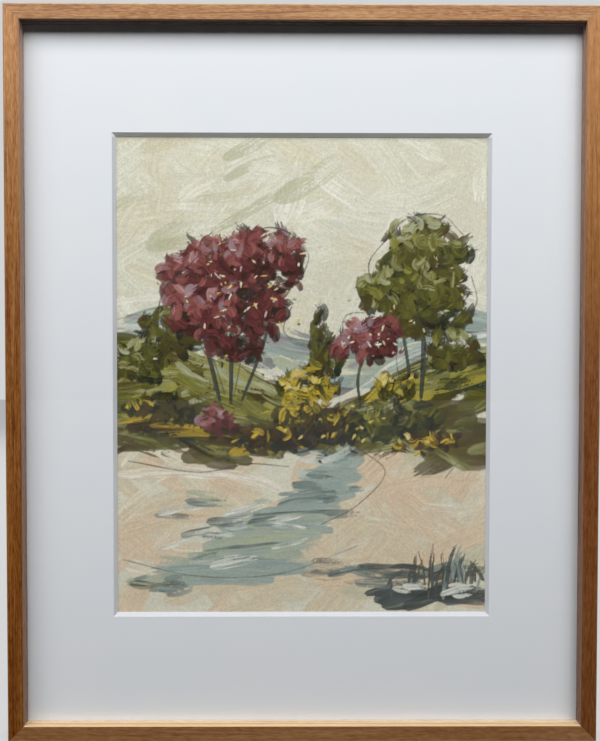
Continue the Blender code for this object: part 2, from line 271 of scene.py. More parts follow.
def wood(name, upright, seed, tone, foot=None, edge=None, arris_highlight_power=0.7, face=None, gloss=0.40, spread=0.1):
    """Straight-grained wood about a middle tone, its grain along Z if upright and along X
    if not. Spread is how far its figure runs before it is at its palest or darkest. An upright
    piece may have a darker tone from a little below its top to its foot, painted shade for the
    weaker light lower down. A rail's edge round the opening has a colour at its top and one at
    its foot, painted light and shade for how the light falls into the opening, and its outer
    arris is painted paler, a painted highlight. A fillet's front face is painted paler too,
    painted light over the shade that the lip casts on it."""
    finish = Finish(name, Specular_IOR_Level=0.4, IOR=1.5)

    def grain(along, across, shift, **more):
        scale = (across, across, along) if upright else (along, across, across)
        return finish.noise(scale, shift=(seed + shift, seed * 1.7 - shift, seed * 0.6), **more)

    bands = grain(7, 95, 0, detail=2, distortion=0.5)
    lines = grain(13, 560, 3, detail=3, roughness=0.6, distortion=0.6)
    flecks = grain(150, 1050, 7, detail=3, roughness=0.6, distortion=0.4)
    ring = (grain(4, 230, 13, detail=1, distortion=0.9) - 0.5).maths("ABSOLUTE")
    pores = grain(190, 3400, 11, detail=2, roughness=0.5)
    figure = bands * 0.20 + lines * 0.30 + flecks * 0.50

    def toned(middle):
        darker, paler = opaque(middle, DARKER), opaque(middle, PALER)
        stops = [(0.5 - spread, darker), (0.5, opaque(middle)), (0.5 + spread, paler)]
        return finish.node("ValToRGB", {"stops": stops}, {"Fac": figure})

    x = finish.node("SeparateXYZ", {}, {0: finish.place}, "X")
    y = finish.node("SeparateXYZ", {}, {0: finish.place}, "Y")
    z = finish.node("SeparateXYZ", {}, {0: finish.place}, "Z")
    colour = toned(tone)
    # Painted shade: the tone darkens towards the foot tone, for the weaker light lower down.
    if foot:
        share_above_painted_shade = finish.between(z + bands * 0.05, PAINTED_SHADE_FOOT, PAINTED_SHADE_TOP)
        colour = finish.mixed(share_above_painted_shade, toned(foot), colour)
    dark = opaque(foot or tone, DARKEST)
    pore = finish.between(pores, 0.60, 0.70)
    ringed = finish.between(ring, 0.006, 0.040, 0.075 / spread, 0) * finish.between(bands, 0.42, 0.56)
    colour = finish.mixed(pore * 0.35, colour, dark)
    colour = finish.mixed(ringed, colour, dark)
    # Painted light and shade on the edge round the opening: pale where light falls on it and dark where
    # it lies in shade, from its top colour to its foot colour.
    if edge:
        edge_top, edge_foot = edge
        beside = (x - SIGHT_MIDDLE.x).maths("ABSOLUTE") - SIGHT_HALF.x
        above = (z - SIGHT_MIDDLE.z).maths("ABSOLUTE") - SIGHT_HALF.z
        inner = finish.between(beside.maths("MAXIMUM", above), 0.0001, 0.0005, 1, 0)
        lifted = finish.between(z, SIGHT_LOW.z, SIGHT_HIGH.z)
        edge_light_and_shade = finish.mixed(lifted, opaque(edge_foot), opaque(edge_top))
        lined = finish.between(lines, 0.35, 0.65, 0.35, 0)
        edge_light_and_shade = finish.mixed(lined, edge_light_and_shade, (*[c * 0.5 for c in edge_foot], 1))
        colour = finish.mixed(inner, colour, edge_light_and_shade)
        # Painted highlight: the outer front arris is made paler, for the light that a rounded arris
        # would catch.
        nearest = (high.z - z).maths("MINIMUM", z - low.z)
        nearest = (high.x - x.maths("ABSOLUTE")).maths("MINIMUM", nearest)
        arris_highlight = finish.between(nearest.maths("MAXIMUM", y - low.y), 0.0004, 0.0013, 1, 0)
        arris_highlight = arris_highlight * finish.between(flecks, 0.35, 0.6, 0.6, 1)
        colour = finish.mixed(arris_highlight, colour, opaque(foot or tone, arris_highlight_power))
    # Painted light: the fillet's front face is made paler over the shade that the lip casts on it.
    if face:
        front, lit_front_colour = face
        front_painted_light = finish.between(y, front - 0.0001, front + 0.0003, 1, 0)
        colour = finish.mixed(front_painted_light, colour, opaque(lit_front_colour))
    finish.feed("Base Color", colour)
    finish.feed("Roughness", finish.between(lines, 0.3, 0.7, gloss - 0.05, gloss + 0.07))
    finish.relief(figure * 1.4 + pore * -0.6, 0.00006)
    return finish.material


def dress(node, material):
    """Gives a CAD node its material."""
    slots = nodes[node].data.materials
    slots.clear()
    slots.append(material)


# Each rail's edge colours are painted light and shade: dark on the top rail, in shade under it, pale on
# the bottom rail, where the light falls, and darker towards the foot on the side rails. The side rails'
# foot tones are painted shade, and the top rail's arris gets the palest painted highlight.
RAILS = {
    "top": {
        "seed": 1.3, "spread": 0.088, "arris_highlight_power": 0.5,
        "tone": (0.345, 0.160, 0.040),
        "edge": ((0.20, 0.12, 0.08), (0.20, 0.12, 0.08)),
    },
    "bottom": {
        "seed": 4.1, "spread": 0.165,
        "tone": (0.29, 0.135, 0.047),
        "edge": ((0.72, 0.48, 0.235), (0.72, 0.48, 0.235)),
    },
    "left": {
        "seed": 7.7, "spread": 0.108,
        "tone": (0.40, 0.178, 0.042), "foot": (0.20, 0.063, 0.007),
        "edge": ((0.42, 0.25, 0.16), (0.26, 0.145, 0.088)),
    },
    "right": {
        "seed": 9.2, "spread": 0.185,
        "tone": (0.40, 0.174, 0.036), "foot": (0.19, 0.064, 0.014),
        "edge": ((0.34, 0.18, 0.105), (0.225, 0.112, 0.062)),
    },
}
for side, look in RAILS.items():
    dress("rail_" + side, wood("wood_rail_" + side, side in ("left", "right"), **look))


# Glass
# One sheet of clear 2 mm float glass behind the lip. Light from the lamps and light that has
# bounced goes straight through it; the eye sees it bend and mirror a little.
glass = Finish(
    "float_glass",
    Base_Color=(0.985, 0.995, 0.99, 1),
    Roughness=0.0,
    IOR=1.5,
    Transmission_Weight=1.0,
)
shadow = glass.node("LightPath", output="Is Shadow Ray")
bounced = Field(glass, shadow.socket.node.outputs["Is Diffuse Ray"])
straight = shadow.maths("MAXIMUM", bounced)
clear = glass.node("BsdfTransparent", {}, {"Color": (0.97, 0.98, 0.975, 1)})
pane = glass.node(
    "MixShader", {}, {0: straight, 1: Field(glass, glass.shader.outputs[0]), 2: clear}
)
output = glass.tree.nodes["Material Output"]
glass.tree.links.new(pane.socket, output.inputs["Surface"])
dress("glazing", glass.material)


# Spacers
# Four square fillets of plain wood, stained like the frame, that line the rebate behind the
# glass and hold the mat off it. Each has its tone, its tone at the foot, the colour of its
# front and a seed. The tones are painted light and shade: the top fillet dark for the shade
# under the top rail, the bottom one pale for the light falling on it, the right one darker
# than the left, and the side ones darker at the foot. The front colour is painted light over
# the shade that the lip casts on it.
FILLETS = {
    "top": ((0.16, 0.105, 0.087), None, (0.33, 0.26, 0.23), 2.2),
    "bottom": ((0.70, 0.52, 0.335), None, (0.97, 0.84, 0.56), 5.9),
    "left": ((0.47, 0.285, 0.190), (0.30, 0.170, 0.110), (0.55, 0.37, 0.26), 3.3),
    "right": ((0.35, 0.195, 0.120), (0.235, 0.122, 0.075), (0.42, 0.26, 0.18), 8.4),
}
for side, (tone, foot, lit_front_colour, seed) in FILLETS.items():
    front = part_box("spacer_" + side)[0].y
    upright = side in ("left", "right")
    dress(
        "spacer_" + side,
        wood("wood_spacer_" + side, upright, seed, tone, foot, face=(front, lit_front_colour), gloss=0.5),
    )


# Window mat
# Thick white cotton board with a fine tooth. Its window is cut at 45 degrees, so a bevel of
# the board's core shows all round the picture. The bevel is painted near white on its top
# slope, painted light where that slope faces away from the light, and grey on the others,
# painted shade. Its face is painted darker beside the fillets, a painted shade where they cut
# off the light.
def white_board(name, colour, warm):
    """White board that drifts from one colour to a warmer one, and that colour on its own."""
    board = Finish(name, Roughness=0.85, Specular_IOR_Level=0.25)
    cloud = board.noise((18, 18, 18), detail=2)
    tooth = board.noise((1700, 1700, 1700), detail=3, roughness=0.6)
    white = board.mixed(board.between(cloud, 0.35, 0.65), opaque(colour), opaque(warm))
    board.feed("Base Color", white)
    board.relief(tooth, 0.00004, 0.6)
    return board, white


mat_white, white = white_board("white_mat_board", (0.80, 0.825, 0.835), (0.815, 0.83, 0.83))
WINDOW = Vector((-0.0008, 0, -0.2583))
WINDOW_HALF = Vector((0.13335, 0, 0.17145))
BEVEL = 0.0027
x = mat_white.node("SeparateXYZ", {}, {0: mat_white.place}, "X")
z = mat_white.node("SeparateXYZ", {}, {0: mat_white.place}, "Z")
beside = (x - WINDOW.x).maths("ABSOLUTE") - WINDOW_HALF.x
above = (z - WINDOW.z).maths("ABSOLUTE") - WINDOW_HALF.z
bevel = mat_white.between(beside.maths("MAXIMUM", above), BEVEL - 0.0001, BEVEL + 0.0001, 1, 0)
# Painted light and shade on the bevel: near white on the top slope, grey on the other three.
upper = mat_white.between(z - WINDOW.z, WINDOW_HALF.z - 0.00005, WINDOW_HALF.z + 0.00015)
bevel_light_and_shade = mat_white.mixed(upper, (0.64, 0.65, 0.67, 1), (0.96, 0.96, 0.95, 1))
# Painted shade on the face beside the fillets, wider and darker on the right than on the left.
painted_shade_right = mat_white.between(x, SIGHT_HIGH.x - 0.0055, SIGHT_HIGH.x - 0.0002, 0, 0.62)
painted_shade_left = mat_white.between(x, SIGHT_LOW.x + 0.0002, SIGHT_LOW.x + 0.0030, 0.28, 0)
painted_shade_beside_fillets = painted_shade_right.maths("MAXIMUM", painted_shade_left)
white = mat_white.mixed(painted_shade_beside_fillets, white, (0.42, 0.42, 0.42, 1))
mat_white.feed("Base Color", mat_white.mixed(bevel, white, bevel_light_and_shade))
dress("window_mat", mat_white.material)
under_white, _ = white_board("undermount_board", (0.76, 0.77, 0.75), (0.78, 0.78, 0.75))
dress("undermount", under_white.material)


# Picture sheet
# Heavy cream paper with a visible tooth and faint cloudy toning. The mat covers its margin
# all round.
paper = Finish("cream_paper", Roughness=0.88, Specular_IOR_Level=0.25)
tooth = paper.noise((900, 900, 900), detail=4, roughness=0.6)
wash = paper.noise((9, 9, 9), detail=3, roughness=0.6, distortion=0.6)
cream = paper.mixed(paper.between(wash, 0.3, 0.7), (0.60, 0.575, 0.44, 1), (0.66, 0.64, 0.52, 1))
hollow = paper.between(tooth, 0.3, 0.5, 0.12, 0)
paper.feed("Base Color", paper.mixed(hollow, cream, (0.45, 0.42, 0.30, 1)))
paper.relief(tooth, 0.00012)
dress("artwork_sheet", paper.material)


# Paint
# Opaque water-based paint, laid on the sheet with flat brushes and worked over with a pencil:
# open country with blossoming trees and a stream. The film is a grid of cells, each with its
# own colour and thickness, which every stroke changes as it is drawn. It runs on under the mat.
PIGMENTS = {
    "cream": (0.83, 0.80, 0.62), "chalk": (0.93, 0.91, 0.80), "khaki": (0.60, 0.57, 0.38),
    "sky": (0.77, 0.77, 0.64), "sand": (0.76, 0.60, 0.39), "peach": (0.80, 0.62, 0.43),
    "buff": (0.72, 0.66, 0.46), "sage": (0.27, 0.35, 0.31), "mist": (0.42, 0.51, 0.44),
    "slate": (0.080, 0.105, 0.095), "leaf": (0.46, 0.48, 0.30), "reed": (0.38, 0.37, 0.17),
    "lime": (0.36, 0.34, 0.070), "olive": (0.15, 0.148, 0.028), "moss": (0.068, 0.068, 0.015),
    "bottle": (0.014, 0.026, 0.016), "brown": (0.080, 0.046, 0.013), "umber": (0.020, 0.012, 0.005),
    "ochre": (0.68, 0.48, 0.045), "straw": (0.78, 0.68, 0.30), "pink": (0.53, 0.31, 0.30),
    "rose": (0.34, 0.115, 0.100), "plum": (0.17, 0.045, 0.041), "wine": (0.090, 0.022, 0.021),
    "mauve": (0.34, 0.25, 0.28), "dusk": (0.14, 0.095, 0.125), "graphite": (0.05, 0.05, 0.055),
}
# The cell, the film's width and its height are in millimetres, as all strokes are.
CELL = 0.5
WIDE, HIGH = 271.0, 347.5
COLUMNS, ROWS = int(round(WIDE / CELL)) + 1, int(round(HIGH / CELL)) + 1
rng = np.random.default_rng(11)
LATTICE_COLUMNS, LATTICE_ROWS = 97, 89
LATTICE = rng.uniform(-1, 1, (LATTICE_COLUMNS, LATTICE_ROWS))


def uneven(a, b):
    """Smooth noise from -1 to 1, one wave to each whole step of a and b."""
    i, j = np.floor(a).astype(int), np.floor(b).astype(int)
    f, g = a - i, b - j
    f, g = f * f * (3 - 2 * f), g * g * (3 - 2 * g)
    here, right = i % LATTICE_COLUMNS, (i + 1) % LATTICE_COLUMNS
    below, above = j % LATTICE_ROWS, (j + 1) % LATTICE_ROWS
    near = LATTICE[here, below] * (1 - f) + LATTICE[right, below] * f
    far = LATTICE[here, above] * (1 - f) + LATTICE[right, above] * f
    return near * (1 - g) + far * g


def step(value, low, high):
    """A smooth rise from 0 at low to 1 at high."""
    t = np.clip((value - low) / (high - low), 0, 1)
    return t * t * (3 - 2 * t)


across, up = np.meshgrid(np.arange(COLUMNS) * CELL, np.arange(ROWS) * CELL)
paper_tooth = 0.6 * uneven(across / 1.3, up / 1.3) + 0.4 * uneven(up / 0.9 + 31, across / 0.9 + 7)
colour = np.empty((ROWS, COLUMNS, 3))
blotch = uneven(across / 60, up / 60)[..., None]
colour[:] = np.array(PIGMENTS["cream"]) * (0.95 + 0.05 * blotch)
height = 0.012 + 0.006 * paper_tooth


def curve(points):
    """A smooth path through the points, as places about a millimetre apart."""
    points = np.array(points, float)
    if len(points) == 2:
        points = np.array([points[0], points.mean(0), points[1]])
    ends = np.vstack([2 * points[0] - points[1], points, 2 * points[-1] - points[-2]])
    path = []
    for a, b, c, d in zip(ends, ends[1:], ends[2:], ends[3:]):
        t = np.linspace(0, 1, max(3, int(np.hypot(*(c - b)) / 1.2)), endpoint=False)[:, None]
        path.append(0.5 * (2 * b + (c - a) * t + (2 * a - 5 * b + 4 * c - d) * t * t
                           + (3 * b - a - 3 * c + d) * t ** 3))
    return np.vstack(path + [points[-1:]])


def patch(path, before, after):
    """The cells round a path, as a slice of the film's grid."""
    lowest, highest = path.min(0) - before, path.max(0) + after
    x0, x1 = np.clip((lowest[0] / CELL, highest[0] / CELL), 0, COLUMNS).astype(int)
    y0, y1 = np.clip((lowest[1] / CELL, highest[1] / CELL), 0, ROWS).astype(int)
    return slice(y0, y1), slice(x0, x1)


def brush(
    points, width, pigments, load=1.0, dry=0.5, body=0.045, wet=0.25, mixed=0.5, tip=0.35, lean=0.0
):
    """One stroke of a flat brush through the points, in millimetres. It carries two or three
    pigments side by side, picks up what it passes over, and runs dry towards its end. Load
    is how full it is, body the paint's thickness, wet how much it picks up, mixed how far the
    pigments blend, tip how much it narrows at its ends, and lean which edge it presses on."""
    path = curve(points)
    legs = np.diff(path, axis=0)
    run = np.concatenate([[0], np.cumsum(np.hypot(legs[:, 0], legs[:, 1]))])
    total = run[-1]
    ahead = np.gradient(path, axis=0)
    ahead /= np.maximum(np.hypot(ahead[:, 0], ahead[:, 1]), 1e-9)[:, None]
    reach = width * 0.62 + 2
    cells = patch(path, reach, reach)
    gx, gy = across[cells], up[cells]
    if min(gx.shape) < 2:
        return
    best = np.full(gx.shape, 1e9)
    nearest = np.zeros(gx.shape, int)
    for k, (px, py) in enumerate(path):
        d = (gx - px) ** 2 + (gy - py) ** 2
        closer = d < best
        best[closer] = d[closer]
        nearest[closer] = k
    dx, dy = gx - path[nearest, 0], gy - path[nearest, 1]
    tx, ty = ahead[nearest, 0], ahead[nearest, 1]
    along = run[nearest] + dx * tx + dy * ty
    side = dy * tx - dx * ty
    seed = rng.uniform(0, 90, 4)
    starting = np.clip(1 - along / (0.35 * total + 1e-6), 0, 1)
    ending = np.clip((along / total - 0.7) / 0.3, 0, 1)
    swell = 1 - tip * starting**2 - tip * 0.8 * ending**2
    half = 0.5 * width * swell * (1 + 0.10 * uneven(along / 9 + seed[0], side * 0 + seed[1]))
    v = side / np.maximum(half, 0.2)
    hair = uneven(along / (6 + 0.5 * width) + seed[0], side / 0.85 + seed[1])
    clump = uneven(along / 22 + seed[2], side / (0.16 * width + 0.8) + seed[3])
    rag = uneven(side / 0.9 + seed[2], side * 0 + seed[0])
    cap = 0.30 * width * (1 - np.clip(v, -1, 1) ** 2)
    start = step(along + cap * 0.8 + 0.9 * rag, -0.6, 0.6)
    end = step(total + cap - along + (1.6 + dry * 3.5) * rag, -0.6, 0.8)
    edge = step(1.0 - np.abs(v) + 0.05 * hair, -0.05, 0.14)
    spent = dry * np.clip(along / total, 0, 1) ** 1.4
    wetness = load * (1.05 - spent) + 0.30 * hair * (0.5 + dry) + 0.22 * clump
    holds = step(wetness - 0.28 * paper_tooth[cells] * (0.4 + dry), 0.18, 0.46)
    cover = start * end * edge * holds
    pair = np.array([PIGMENTS[p] for p in pigments])
    share = np.clip(0.5 + mixed * (0.75 * clump + 0.55 * hair) + lean * v, 0, 1)[..., None]
    if len(pair) == 2:
        paint = pair[0] * (1 - share) + pair[1] * share
    else:
        third = np.clip(share * 2 - 1, 0, 1)
        paint = (pair[0] * (1 - share) + pair[1] * share) * (1 - third) + pair[2] * third
    paint = paint * (1 + 0.13 * hair[..., None])
    under = colour[cells]
    picked = wet * np.clip(1.3 - wetness, 0.15, 1)[..., None]
    paint = paint * (1 - picked) + under * picked
    mask = cover[..., None]
    colour[cells] = under * (1 - mask) + paint * mask
    side_ridge = np.exp(-(((np.abs(v) - 0.88) / 0.10) ** 2)) * 0.8
    end_ridge = np.exp(-(((along - total) / 1.6) ** 2)) * 0.5
    film = body * (0.55 + 0.45 * np.clip(wetness, 0, 1.4) + 0.45 * hair + (side_ridge + end_ridge))
    height[cells] = height[cells] * (1 - 0.45 * cover) + cover * np.maximum(film, 0.004)


def wander(value, amount):
    """A value moved at random by up to an amount."""
    return value + rng.uniform(-amount, amount)


def bowed(x, y, turn, half, bow):
    """Three points of a short stroke about a place, with its middle pushed to one side."""
    dx, dy = math.cos(turn) * half, math.sin(turn) * half
    return [(x - dx, y - dy), (x - dy * bow, y + dx * bow), (x + dx, y + dy)]


def hatch(count, area, angle, length, width, pigments, **how):
    """Strokes scattered over an area (left, bottom, right, top). Angle, in degrees, length
    and width are each a middle value and how far it strays."""
    left, bottom, right, top = area
    for _ in range(count):
        x, y = rng.uniform(left, right), rng.uniform(bottom, top)
        turn = math.radians(wander(*angle))
        half = wander(*length) / 2
        stroke = bowed(x, y, turn, half, rng.uniform(-0.12, 0.12))
        pair = pigments[rng.integers(len(pigments))]
        brush(stroke, wander(*width), pair, **how)


def pencil(points, weight, strength):
    """A graphite line that breaks over the paper's tooth."""
    path = curve(points)
    cells = patch(path, 1.5, 2.0)
    gx, gy = across[cells], up[cells]
    best = np.full(gx.shape, 1e9)
    for (ax, ay), (bx, by) in zip(path, path[1:]):
        ex, ey = bx - ax, by - ay
        t = np.clip(((gx - ax) * ex + (gy - ay) * ey) / max(ex * ex + ey * ey, 1e-9), 0, 1)
        best = np.minimum(best, np.hypot(gx - ax - t * ex, gy - ay - t * ey))
    press = 0.75 + 0.35 * uneven(gx / 14 + 3, gy / 14 + 9) - 0.35 * paper_tooth[cells]
    mark = strength * np.clip(press, 0, 1) * step(weight + 0.35 - best, 0, 0.6)
    mark = mark[..., None]
    colour[cells] = colour[cells] * (1 - mark) + np.array(PIGMENTS["graphite"]) * mark


def follow(points, x):
    """The height of a line of points at a place along it."""
    return float(np.interp(x, [p[0] for p in points], [p[1] for p in points]))


def slope(count, ridge, foot, length, width, pigments, loose=13, **how):
    """Strokes over the ground between two lines, near the direction of the upper one."""
    for _ in range(count):
        x, depth = rng.uniform(ridge[0][0], ridge[-1][0]), rng.uniform(0, 1)
        wide, half = wander(*width), wander(*length) / 2
        top, bottom = follow(ridge, x) - wide * 0.55, follow(foot, x)
        if top - bottom < wide * 0.4:
            continue
        y = top - depth * (top - bottom)
        rise = (follow(ridge, x + 12) - follow(ridge, x - 12)) / 24
        stray = math.radians(rng.normal(0, loose * (0.25 + depth)))
        turn = math.atan(rise * (1 - 0.6 * depth)) + stray
        stroke = bowed(x, y, turn, half, rng.uniform(-0.15, 0.15))
        pair = pigments[rng.integers(len(pigments))]
        brush(stroke[:: rng.choice((1, -1))], wide, pair, **how)


def copse(x, y, wide, tall, shades, dabs, size, stretch=1.0, upright=0.0):
    """Short dabs heaped into a ragged crown or bush: dark ones first, the palest last and
    mostly towards the upper left."""
    lumps = rng.uniform(0, 6.28, 3)
    for i in range(dabs):
        turn, far = rng.uniform(0, 2 * math.pi), math.sqrt(rng.uniform(0, 1))
        ragged = 1 + 0.16 * math.sin(2 * turn + lumps[0]) + 0.12 * math.sin(5 * turn + lumps[1])
        ragged += 0.07 * math.sin(9 * turn + lumps[2])
        px, py = x + wide * far * ragged * math.cos(turn), y + tall * far * ragged * math.sin(turn)
        late, lit = i / dabs, 0.5 + 0.5 * far * math.cos(turn - 2.2)
        light = 0.62 * late * (0.45 + 0.75 * lit) + 0.30 * lit * late + rng.uniform(-0.10, 0.14)
        pair = shades[int(np.clip(light * len(shades), 0, len(shades) - 1))]
        point = rng.uniform(0, math.pi) * (1 - upright) + math.pi / 2 * upright
        dab = size * (1.35 - 0.6 * i / dabs)
        half = dab * stretch * rng.uniform(0.18, 0.50)
        stroke = bowed(px, py, point, half, rng.uniform(-0.5, 0.5))
        brush(
            stroke,
            dab * rng.uniform(0.35, 0.75),
            pair,
            load=rng.uniform(0.75, 1.1),
            dry=0.6, body=0.06, wet=0.28, mixed=0.9, tip=0.25,
            lean=rng.uniform(-0.3, 0.3),
        )


def specks(count, x, y, wide, tall, size, pigments):
    """Small flicks from the tip of the brush, thickest about the middle."""
    for _ in range(count):
        px, py = x + rng.normal(0, wide), y + rng.normal(0, tall)
        turn, reach = rng.uniform(0, 2 * math.pi), rng.uniform(0.4, 1.6) * size
        flick = [(px, py), (px + math.cos(turn) * reach, py + math.sin(turn) * reach)]
        pair = pigments[rng.integers(len(pigments))]
        brush(flick, size, pair, dry=0.3, body=0.07, wet=0.1, mixed=0.4, tip=0.2)


# The sky: long thin crossing strokes, with a few greyer and a few paler ones over them
hatch(
    60, (0, 190, 271, 347), (2, 70), (64, 30), (26, 8),
    [("cream", "buff"), ("cream", "sky"), ("cream", "sky")], body=0.016, dry=0.35, mixed=0.12, wet=0.7,
)
hatch(
    40, (0, 205, 271, 347), (30, 90), (30, 14), (14, 5),
    [("cream", "sky"), ("cream", "buff"), ("cream", "chalk")], body=0.024, dry=0.8, mixed=0.16, wet=0.6,
)
hatch(
    14, (0, 262, 150, 345), (14, 20), (60, 24), (12, 5),
    [("khaki", "buff"), ("buff", "sky"), ("leaf", "khaki")], load=0.72, body=0.03, dry=0.9, mixed=0.5,
    wet=0.6,
)
hatch(
    10, (20, 250, 250, 335), (24, 40), (34, 14), (9, 4), [("chalk", "sky"), ("chalk", "cream")],
    load=0.72, body=0.035, dry=0.95, mixed=0.2, wet=0.6,
)
# Pale and sandy ground, in front of the hills
hatch(
    60, (0, 0, 271, 128), (3, 60), (56, 30), (19, 7),
    [("sand", "buff"), ("sand", "peach"), ("cream", "sand"), ("buff", "sand")], body=0.022, dry=0.45,
    mixed=0.3, wet=0.5,
)
hatch(
    34, (0, 0, 271, 118), (0, 50), (34, 14), (11, 4),
    [("peach", "sand"), ("sand", "cream"), ("buff", "cream"), ("buff", "khaki")], body=0.032, dry=0.8,
    mixed=0.35, wet=0.45,
)
# Far hills: lines of points from left to right, and strokes laid along them
FAR = [(-6, 214), (34, 224), (80, 226), (122, 212), (160, 198), (196, 206), (238, 226), (280, 220)]
NEAR = [
    (-6, 206), (40, 202), (86, 188), (124, 166), (150, 150), (176, 160), (214, 184), (250, 196),
    (280, 200),
]
slope(
    70, FAR, [(x, y - 34) for x, y in FAR], (34, 14), (9, 3),
    [("sage", "mist"), ("mauve", "mist"), ("mist", "sage"), ("dusk", "sage"), ("mist", "leaf")],
    loose=9, body=0.032, dry=0.5, mixed=0.6, wet=0.4,
)
slope(
    22, FAR, [(x, y - 12) for x, y in FAR], (26, 12), (5, 2),
    [("mauve", "mist"), ("chalk", "mist"), ("slate", "sage")], loose=8, load=0.8, body=0.035, dry=0.8,
    mixed=0.6, wet=0.4,
)
# Near hills
FLAT = [(-6, 116), (60, 112), (110, 118), (150, 124), (190, 120), (280, 112)]
slope(
    150, NEAR, FLAT, (36, 14), (13, 4),
    [("olive", "moss"), ("moss", "brown"), ("olive", "moss"), ("brown", "olive"), ("moss", "bottle")],
    body=0.04, dry=0.45, mixed=0.6, wet=0.35,
)
slope(
    120, NEAR, FLAT, (28, 12), (8, 3),
    [("olive", "reed"), ("moss", "olive"), ("olive", "lime"), ("brown", "moss"), ("reed", "olive")],
    loose=20, load=0.85, body=0.05, dry=0.7, mixed=0.9, wet=0.35,
)
slope(
    70, [(-6, 204), (40, 200), (86, 184), (112, 168)], [(-6, 170), (60, 160), (112, 140)], (26, 10),
    (7, 3), [("reed", "lime"), ("lime", "olive"), ("reed", "leaf"), ("olive", "brown")], loose=16,
    load=0.75, body=0.05, dry=0.85, mixed=1.0, wet=0.3,
)
slope(
    46, [(176, 158), (214, 182), (250, 194), (280, 198)], [(176, 140), (220, 160), (280, 168)],
    (26, 10), (7, 3), [("reed", "leaf"), ("lime", "olive"), ("ochre", "lime"), ("bottle", "moss")],
    loose=16, load=0.75, body=0.05, dry=0.85, mixed=1.0, wet=0.3,
)
slope(
    40, [(-6, 150), (70, 146), (130, 138)], [(-6, 118), (70, 114), (130, 122)], (30, 12), (7, 3),
    [("umber", "brown"), ("brown", "moss"), ("bottle", "umber"), ("ochre", "brown")], loose=12,
    load=0.8, body=0.05, dry=0.8, mixed=0.9, wet=0.3,
)
# The stream, widening from the hollow down towards the left
STREAM_STROKES = 44
WATER = [
    ("sage", "mist"), ("mist", "sage"), ("sage", "slate"),
    ("mist", "leaf"), ("sage", "mist"), ("mist", "sage"),
]
for i in range(STREAM_STROKES):
    down = (i / (STREAM_STROKES - 1)) ** 0.8
    y = 122 - 96 * down
    x = 172 - 100 * down**1.3 + wander(0, 7)
    reach = (8 + 58 * down) * rng.uniform(0.5, 1)
    left_end = (x - reach, wander(y - 2, 2.5))
    middle = (x, wander(y, 2))
    right_end = (x + reach * wander(0.9, 0.3), wander(y + 2, 2.5))
    stroke = [left_end, middle, right_end][:: rng.choice((1, -1))]
    width = wander(8 + 4 * down, 3)
    brush(stroke, width, WATER[rng.integers(len(WATER))], dry=0.5, body=0.035, wet=0.5, mixed=0.4)
hatch(
    26, (44, 36, 128, 88), (4, 14), (26, 12), (6, 3),
    [("mist", "leaf"), ("mist", "chalk"), ("sage", "slate")], load=0.75, body=0.045, dry=0.9, mixed=0.6,
    wet=0.45,
)
hatch(
    12, (130, 88, 178, 120), (8, 20), (18, 8), (5, 2),
    [("slate", "sage"), ("sage", "slate"), ("chalk", "mist")], load=0.8, body=0.045, dry=0.8, mixed=0.6,
    wet=0.4,
)
# Pale strokes cut in along the hills and the stream's banks
brush(
    [(p[0], p[1] + 5) for p in NEAR[:5]], 5, ("chalk", "mist"), load=0.7, dry=0.7, body=0.035,
    mixed=0.5, wet=0.45,
)
brush(
    [(p[0], p[1] + 5) for p in NEAR[5:]][::-1], 5, ("mist", "chalk"), load=0.7, dry=0.7, body=0.035,
    mixed=0.5, wet=0.45,
)
brush(
    [(-6, 226), (34, 231), (80, 233), (122, 219)], 6, ("chalk", "cream"), load=0.8, dry=0.7, body=0.035,
    mixed=0.4, wet=0.4,
)
brush(
    [(270, 230), (236, 234), (196, 213), (164, 205)], 6, ("cream", "chalk"), load=0.8, dry=0.7,
    body=0.035, mixed=0.4, wet=0.4,
)
brush(
    [(262, 98), (214, 96), (180, 84), (168, 66)], 9, ("peach", "sand"), load=0.85, dry=0.6, body=0.035,
    mixed=0.4, wet=0.4,
)
brush(
    [(4, 102), (44, 104), (92, 100), (118, 92)], 9, ("sand", "chalk"), load=0.85, dry=0.7, body=0.035,
    mixed=0.4, wet=0.4,
)
# Hedge and dark hollow
copse(
    150, 140, 40, 12, [("umber", "bottle"), ("umber", "brown"), ("brown", "moss"), ("olive", "ochre")],
    110, 9, stretch=1.3,
)
copse(
    120, 128, 30, 8, [("umber", "bottle"), ("umber", "brown"), ("brown", "ochre")], 60, 8, stretch=1.3,
)
copse(
    204, 142, 34, 12, [("bottle", "umber"), ("bottle", "moss"), ("moss", "olive"), ("olive", "lime")],
    90, 9, stretch=1.2,
)
copse(226, 126, 26, 7, [("umber", "brown"), ("brown", "ochre"), ("ochre", "straw")], 40, 7, stretch=1.2)
specks(60, 152, 132, 16, 6, 1.8, [("umber", "graphite"), ("umber", "brown")])
specks(26, 156, 140, 20, 8, 2.0, [("ochre", "brown"), ("ochre", "straw")])
